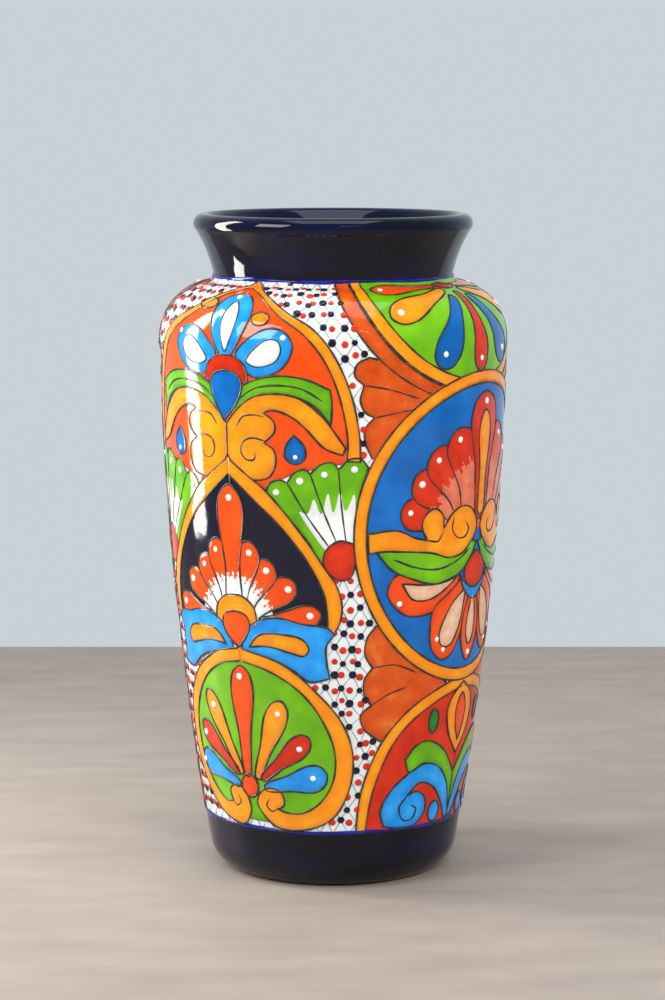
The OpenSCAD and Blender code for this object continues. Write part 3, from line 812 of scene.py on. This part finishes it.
# %% Blue roundel: ring and field
DISC = 0.44
disc_outer = ring((101, 182), 89, 93.5, 20)
disc_inner = ring((101, 182), 81.5, 86, 20)
enamel("blue_field", [ring((101, 182), 85, 89.5, 20)], ROUNDEL, DISC, blue, "blue_roundel_ground")
enamel("blue_roundel_ring", [(disc_outer, disc_inner)], ROUNDEL, DISC + 0.16, yellow,
       "blue_roundel_frame", spacing=BAND_SPACING)
strokes("blue_roundel_ring_outline", [disc_outer, disc_inner], ROUNDEL, DISC + 0.16, FRAME_LINE)

# %% Blue roundel: flower
flower = [petal((94, 186), (80, 243), 13, 0.5, 0.8), petal((91, 185), (62, 232), 12.5, 0.5, 0.8),
          petal((88, 184), (49, 217), 11.5, 0.5, 0.8), petal((84, 184), (40, 197), 10, 0.5, 0.8)]
flower_back = shape((103, 245), (85, 238), (66, 224), (52, 206), (44, 190), (101, 180, CORNER),
                    (161, 190), (153, 206), (139, 224), (120, 238))
enamel("salmon_flower", [flower_back], ROUNDEL, DISC + 0.14, salmon)
flower_middle = petal((104, 188), (105, 263), 15, 0.3, 0.76)
band = shape((20, 184, CORNER), (38, 185), (50, 180), (58, 178, CORNER), (54, 187), (57, 194),
             (63, 196.5), (69, 192), (70, 184, CORNER), (76, 192), (84, 196), (92, 195), (98, 190),
             (101, 183), (98, 176, CORNER), (88, 168), (76, 166), (62, 170), (45, 172), (29, 173),
             (21, 172, CORNER))
drawn_petals("red_flower", both(*flower[::-1], axis=103), ROUNDEL, DISC + 0.22, red,
             under=[flower_middle, *both(band, axis=103)], fade=((103, 182), 42, salmon))
drawn_petals("red_flower_middle", [flower_middle], ROUNDEL, DISC + 0.28, red, under=both(band, axis=103))
drawn_petals("flower_heart", [petal((104, 190), (105, 252), 6.5, 0.4)], ROUNDEL, DISC + 0.34, yellow,
             under=both(band, axis=103))
flower_spots = [(80, 236), (64, 225), (53, 211.5), (46, 195)]
dots("flower_dots", [(105, 257), *flower_spots, *[(206 - x, t) for x, t in flower_spots]], ROUNDEL,
     DISC + 0.42, 2.0, seed=6)

# %% Blue roundel: leaves, scroll, bud and lower petals
under_leaf = shape((26, 172, CORNER), (35, 162), (50, 155), (67, 151), (85, 155), (96, 164),
                   (102, 173, CORNER), (88, 176), (66, 178), (44, 178))
under_vein = shape((36, 168), (52, 162), (68, 160), (84, 164), (95, 170), closed=False)
band_curls = [shape((58, 178), (66, 177), (70, 183), closed=False),
              shape((78, 190), (77, 183), (82, 177.5), (89, 177.5), (92, 182), (89, 186), closed=False)]
low_petals = [shape((33, 147), (38, 158), (52, 157), (70, 153), (88, 158, CORNER), (84, 146), (72, 137),
                    (60, 133), (45, 134)),
              shape((64, 126), (66, 136), (80, 146), (92, 154, CORNER), (97, 138), (92, 118), (84, 106),
                    (75, 104), (66, 112))]
low_middle = shape((103, 148, CORNER), (94, 130), (94, 112), (103, 100), (112, 112), (112, 130))
low_insets = [shape((42, 153, CORNER), (50, 143), (62, 142), (74, 147), (86, 155, CORNER), (66, 151)),
              shape((72, 121), (74, 113), (82, 112), (90, 124), (94, 146, CORNER), (82, 138))]
middle_inset = shape((103, 143, CORNER), (98.5, 128), (99, 115), (103, 110), (107, 115), (107.5, 128))
bud = shape((103, 168, CORNER), (94, 162), (91, 156), (94, 149), (103, 145.5), (112, 149), (115, 156),
            (112, 162))
crescent = shape((86, 155, CORNER), (92, 145), (103, 138), (114, 145), (120, 155, CORNER), (112, 148),
                 (103, 145), (94, 148))
drawn_petals("lower_red_petals", both(*low_petals, axis=103), ROUNDEL, DISC + 0.2, flame,
             under=[low_middle, bud, crescent, *both(under_leaf, axis=103)])
drawn_petals("lower_red_middle", [low_middle], ROUNDEL, DISC + 0.26, flame, under=[bud, crescent])
drawn_petals("peach_insets", both(*low_insets, axis=103), ROUNDEL, DISC + 0.26, peach,
             under=[low_middle, bud, crescent])
drawn_petals("middle_peach_inset", [middle_inset], ROUNDEL, DISC + 0.34, peach, under=[bud, crescent])
drawn_petals("blue_crescent", [crescent], ROUNDEL, DISC + 0.32, sky, under=[bud])
drawn_petals("under_leaves", both(under_leaf, axis=103), ROUNDEL, DISC + 0.3, green,
             under=[bud, *both(band, axis=103)])
drawn_petals("yellow_scroll_band", both(band, axis=103), ROUNDEL, DISC + 0.36, yellow, under=[bud])
drawn_petals("red_bud", [bud], ROUNDEL, DISC + 0.42, red)
strokes("band_curls", both(under_vein, *band_curls, axis=103), ROUNDEL, DISC + 0.4, 0.6, closed=False)
low_spots = [(41, 141), (76, 110), (70, 117)]
dots("lower_dots", [(103, 105), *low_spots, *[(206 - x, t) for x, t in low_spots]], ROUNDEL, DISC + 0.4,
     1.8, seed=7)

# %% [markdown]
# ## Green swag
# Half a roundel hangs from the neck: a green field with petals in orange, yellow and blue round a red
# one, inside a yellow frame with an orange outer band.

# %% Green swag
SWAG = 0.26


def half_ring(rx, ry, top=344.5, centre=(96, 345)):
    """The lower half of an ellipse under the neck, as corner-ended points from left to right."""
    turns = [math.pi * (1 + i / 10) for i in range(11)]
    points = [(centre[0] + rx * math.cos(a), min(top, centre[1] + ry * math.sin(a))) for a in turns]
    return [(*points[0], CORNER), *points[1:-1], (*points[-1], CORNER)]


swag_field = shape(*half_ring(80, 77))
swag_band = shape(*half_ring(84, 82), *half_ring(75, 74)[::-1])
swag_flame = shape(*half_ring(95, 88), *half_ring(83, 81)[::-1])
enamel("swag_orange_band", [swag_flame], ROUNDEL, SWAG, cloudy)
enamel("swag_field", [swag_field], ROUNDEL, SWAG + 0.02, green, "swag_ground")
enamel("yellow_swag_frame", [swag_band], ROUNDEL, SWAG + 0.12, yellow, "swag_frame", spacing=BAND_SPACING)
strokes("swag_frame_outline", [swag_band, swag_flame], ROUNDEL, SWAG + 0.1, FRAME_LINE,
        under=[disc_outer])
swag_petals = {
    "orange_swag_petals": (flame, both(petal((84, 337), (27, 334), 7), axis=97)),
    "yellow_swag_petals": (yellow, both(petal((86, 331), (34, 310), 8.5), axis=97)),
    "blue_swag_petals": (blue, both(petal((88, 324), (64, 279), 9.5), axis=97)),
    "red_swag_petal": (red, [petal((97, 328), (98, 275), 7)])}
for name, (material, outlines) in swag_petals.items():
    drawn_petals(name, outlines, ROUNDEL, SWAG + 0.2, material)
drawn_petals("swag_bud", [ring((97, 337), 12, 4.5, 8)], ROUNDEL, SWAG + 0.26, red)
swag_spots = [(34, 334), (41, 313), (67, 287)]
dots("swag_dots", [(98, 283), *swag_spots, *[(194 - x, t) for x, t in swag_spots]], ROUNDEL, SWAG + 0.36,
     1.9, seed=8)

# %% [markdown]
# ## Red panel and orange fans
# Above the foot a yellow arch holds a red field with a yellow drop, green leaves and blue scrolls.
# Cloudy orange fans with scalloped edges fill the gaps beside the panels.

# %% Red panel
BASE = 0.32
base_outer = [(17, 0, CORNER), (18, 15), (21, 30), (27, 45), (36, 60), (52, 75), (70, 84), (88, 89),
              (103, 91, CORNER)]
base_inner = [(103, 84, CORNER), (90, 82), (75, 78), (55, 68), (42, 55), (33, 38), (27, 20),
              (24, 0, CORNER)]
base_band = shape(*base_outer, *base_inner)
base_field = shape((21, 0, CORNER), (24, 20), (30, 41), (39, 57), (54, 71), (73, 81), (90, 86),
                   (103, 88, CORNER), (103, 0, CORNER))
enamel("red_field", both(base_field, axis=103), ROUNDEL, BASE, red, "red_panel_ground")
enamel("red_frame", both(base_band, axis=103), ROUNDEL, BASE + 0.14, yellow, "red_panel_frame",
       spacing=BAND_SPACING)
strokes("red_frame_outline", both(base_band, axis=103), ROUNDEL, BASE + 0.14, FRAME_LINE,
        under=[middle_line(103), disc_outer])
base_drop = shape((103, 87, CORNER), (91, 79), (87, 70), (91, 56), (103, 42, CORNER), (115, 56),
                  (119, 70), (115, 79))
base_heart = shape((103, 80), (97, 72), (98, 60), (103, 50, CORNER), (108, 60), (109, 72))
base_leaf = shape((52, 44, CORNER), (60, 52), (71, 54), (88, 46), (103, 30, CORNER), (103, 6, CORNER),
                  (96, 24), (84, 36), (68, 40), (56, 36))
base_scroll = shape((103, 26, CORNER), (92, 37), (80, 41), (66, 39), (52, 33), (41, 24), (35, 13),
                    (38, 3, CORNER), (52, 1), (66, 2), (74, 10), (72, 19), (64, 23), (56, 21, CORNER),
                    (66, 28), (80, 24), (92, 12), (98, 2, CORNER), (103, 2, CORNER))
base_curl = shape((56, 21), (50, 14), (54, 6), (62, 6), (65, 12), (60, 15), closed=False)
base_lobe = ring((84, 8), 6, 6.5, 8)
drawn_petals("base_scrolls", both(base_scroll, axis=103), ROUNDEL, BASE + 0.2, sky,
             under=both(base_leaf, axis=103))
drawn_petals("base_leaves", both(base_leaf, axis=103), ROUNDEL, BASE + 0.24, green,
             under=[base_drop, *both(base_band, axis=103)])
drawn_petals("base_lobes", both(base_lobe, axis=103), ROUNDEL, BASE + 0.26, sky)
drawn_petals("base_drop", [base_drop], ROUNDEL, BASE + 0.3, yellow)
drawn_petals("base_drop_heart", [base_heart], ROUNDEL, BASE + 0.38, flame)
drawn_petals("dark_buds", both(ring((74, 66), 4.5, 7.5, 8), axis=103), ROUNDEL, BASE + 0.2, leaf)
strokes("base_curls", both(base_curl, axis=103), ROUNDEL, BASE + 0.3, 0.6, closed=False)

# %% Orange fans
upper_fan = shape((20, 287, CORNER), (13, 283), (12, 276), (17, 271, CORNER), (15, 262), (18, 255),
                  (23, 252, CORNER), (18, 246), (18, 238), (22, 228, CORNER), (28, 224), (50, 250),
                  (72, 270, CORNER), (45, 280))
lower_fan = shape((28, 130, CORNER), (21, 121), (20, 111), (25, 103, CORNER), (20, 96), (20, 87),
                  (25, 80, CORNER), (18, 74), (20, 66), (34, 56, CORNER), (60, 74), (90, 84, CORNER),
                  (60, 104), (40, 116))
upper_ribs = [shape((17, 271), (32, 268), (50, 262), closed=False),
              shape((23, 252), (34, 254), (46, 256), closed=False)]
lower_ribs = [shape((25, 103), (40, 104), (56, 98), closed=False),
              shape((25, 80), (36, 86), (50, 90), closed=False)]
FANS = 0.26
enamel("scalloped_orange_fans", both(upper_fan, lower_fan, axis=101), ROUNDEL, FANS, cloudy,
       "orange_fans")
fans_cover = [disc_outer, swag_flame, swag_band, swag_field, *both(base_band, base_field, axis=103)]
strokes("scalloped_fan_outline", both(upper_fan, lower_fan, axis=101), ROUNDEL, FANS, FRAME_LINE,
        under=fans_cover)
strokes("orange_fan_ribs", both(*upper_ribs, *lower_ribs, axis=101), ROUNDEL, FANS + 0.05, 0.5,
        closed=False, under=fans_cover)

# %% [markdown]
# ## Lattice and dots
# White gaps between the panels carry a loose net of thin dark lines, with navy dots on its knots and
# red dots in its cells. A rule draws it: a jittered diamond net right round the vase, from which only
# what lies on bare white glaze is kept.

# %% Lattice in the white gaps
LATTICE = 0.1
CELL_HEIGHT = 16.5
JITTER = 1.6
EDGE_GAP = 1.5
luck = random.Random(7)
across = 56
pitch = GIRTH / across
rows = 2 * round(RISE / CELL_HEIGHT)
knots = {}
for j in range(rows + 1):
    for i in range(across):
        shift = 0.5 * (j % 2)
        knots[i, j] = ((i + shift) * pitch + luck.uniform(-JITTER, JITTER),
                       RISE * j / rows + luck.uniform(-JITTER, JITTER))


def spread(outlines, columns):
    """Outlines on the map, on each column and once more round the seam."""
    laid = [on_column(o, column) for o in outlines for column in columns]
    return laid + [o + (turn, 0) for o in laid for turn in (GIRTH, -GIRTH)]


half_panels = both(feather_band, feather_field, arch_band, arch_field, fan, fan_heart, wing)
covered = spread([*half_panels, ring_line, ring_line_left, green_field], FEATHER)
covered += spread([disc_outer, swag_flame, swag_field, swag_band, *both(base_band, base_field, axis=103),
                   *both(upper_fan, lower_fan, axis=101)], ROUNDEL)


def bare(points):
    """True where map points lie on white glaze."""
    points = np.array(points, float)
    return ~np.logical_or.reduce([crossings(points, o) for o in covered])


net = []
for (i, j), knot in knots.items():
    for side in (0, 1):
        other = ((i + side - 1 + j % 2) % across, j + 1)
        if other in knots:
            end = np.array(knots[other])
            end[0] += GIRTH * round((knot[0] - end[0]) / GIRTH)
            net += [np.array([knot, (knot + end) / 2]), np.array([(knot + end) / 2, end])]
open_net = [line for line, free in zip(net, bare([line.mean(axis=0) for line in net])) if free]
places = list(knots.values())
on_knots = [k for k, free in zip(places, bare(places)) if free and EDGE_GAP < k[1] < RISE - EDGE_GAP]
cells = [(x, t + RISE / rows) for x, t in places if t + RISE / rows < RISE - EDGE_GAP]
in_cells = [c for c, free in zip(cells, bare(cells)) if free]
ROUND_THE_VASE = [(0, 0, 1)]
strokes("lattice", open_net, ROUND_THE_VASE, LATTICE, 0.5, closed=False)
dots("navy_knot_dots", on_knots, ROUND_THE_VASE, LATTICE + 0.1, 2.2, navy, seed=9)
dots("red_cell_dots", in_cells, ROUND_THE_VASE, LATTICE + 0.1, 2.0, red, seed=10)

# %% [markdown]
# ## Where the cobalt bleeds
# Cobalt runs a little into the white glaze beside it in the kiln, so a thin, brighter blue line shows
# at the foot band's top and at the neck. A stroke right round the wall stands for each.

# %% Cobalt edges
bleed = fired("bleeding_cobalt", ["#1B22A8", "#12167C", "#0A0D50"], 9)
slot_of[bleed.name] = "cobalt_glaze"
WANDER = 0.35
rounds = [np.array([(x, t + WANDER * math.sin(x / 17)) for x in range(0, GIRTH, 4)])
          for t in (0.2, RISE - 0.4)]
strokes("cobalt_edges", rounds, ROUND_THE_VASE, 0.25, 1.1, bleed)

# %% [markdown]
# ## Room, light and camera
# A pale table top, a plain pale surround and soft light: a tall window-like light on the left, whose
# long reflection shows how glossy the glaze is, a wide key on the left, fills on the right and in
# front that the glaze doesn't mirror, a soft top, and a narrow light for the shoulder's streak.

# %% Table
BACK_EDGE = 0.72
WIDTH = 3.2
DEPTH = 2.4
corners = [(x * WIDTH / 2, y, 0) for x,
           y in ((-1, BACK_EDGE - DEPTH), (1, BACK_EDGE - DEPTH), (1, BACK_EDGE), (-1, BACK_EDGE))]
table_mesh = bpy.data.meshes.new("table_top")
table_mesh.from_pydata(corners, [], [(0, 1, 2, 3)])
table_mesh.materials.append(fired("pale_table", ["#A69A90", "#9E938B", "#968B84"], 30, 0.6, 0, (0.4, 1, 1)))
table = bpy.data.objects.new("table_top", table_mesh)
bpy.context.scene.collection.objects.link(table)

# %% Light
def window(name, place, height, wide, tall, watts, colour, mirrored=True):
    """A soft light, sizes in metres, facing the vase at this height; mirrored if the glaze shows it."""
    light = bpy.data.lights.new(name, "AREA")
    light.shape = "RECTANGLE"
    light.size = wide
    light.size_y = tall
    light.energy = watts
    light.color = linear(colour)[:3]
    lamp = bpy.data.objects.new(name, light)
    lamp.location = place
    aim = Vector((0, 0, height)) - Vector(place)
    lamp.rotation_euler = aim.to_track_quat("-Z", "Y").to_euler()
    lamp.visible_camera = False
    lamp.visible_glossy = mirrored
    bpy.context.scene.collection.objects.link(lamp)


window("tall_window", (-0.62, 0.1, 0.5), 0.5, 0.15, 0.84, 7, "#FFFBF2")
window("key_left", (-1.5, -1.1, 1.3), 0.2, 0.9, 0.9, 22, "#FFFFFF")
window("fill_right", (1.7, -0.9, 1.1), 0.2, 1.0, 1.0, 20, "#FFF6EC", False)
window("top_soft", (0.0, -0.3, 1.9), 0.2, 1.2, 1.2, 10, "#F4F8FF")
window("front_fill", (0.5, -2.4, 1.6), 0.2, 1.4, 0.7, 34, "#FFFFFF", False)
window("shoulder_streak", (0.6, -2.3, 1.7), 0.3, 0.8, 0.03, 1.2, "#FFFFFF")
world = bpy.data.worlds.new("pale_room")
world.use_nodes = True
room_tree = world.node_tree
towards = add(room_tree, "ShaderNodeTexCoord")
depth = add(room_tree, "ShaderNodeSeparateXYZ", {0: towards.outputs["Generated"]})
room = add(room_tree, "ShaderNodeValToRGB", {"Fac": depth.outputs["Y"]})
room.color_ramp.elements[0].color = linear("#8D9598")
room.color_ramp.elements[1].color = linear("#C8D2D6")
room.color_ramp.elements[1].position = 0.8
room_tree.links.new(room.outputs["Color"], room_tree.nodes["Background"].inputs["Color"])
bpy.context.scene.world = world
bpy.context.scene.view_settings.view_transform = "Standard"

# %% Camera
# A short telephoto from a little above the rim, tilted down to the belly.
camera = bpy.data.objects.new("camera", bpy.data.cameras.new("camera"))
LENS = 109.7
EYE = (-0.0004, -1.8452, 0.4772)
TILT = 0.1358
camera.data.lens = LENS
camera.location = EYE
camera.rotation_euler = (math.pi / 2 - TILT, 0, 0)
bpy.context.scene.collection.objects.link(camera)
bpy.context.scene.camera = camera
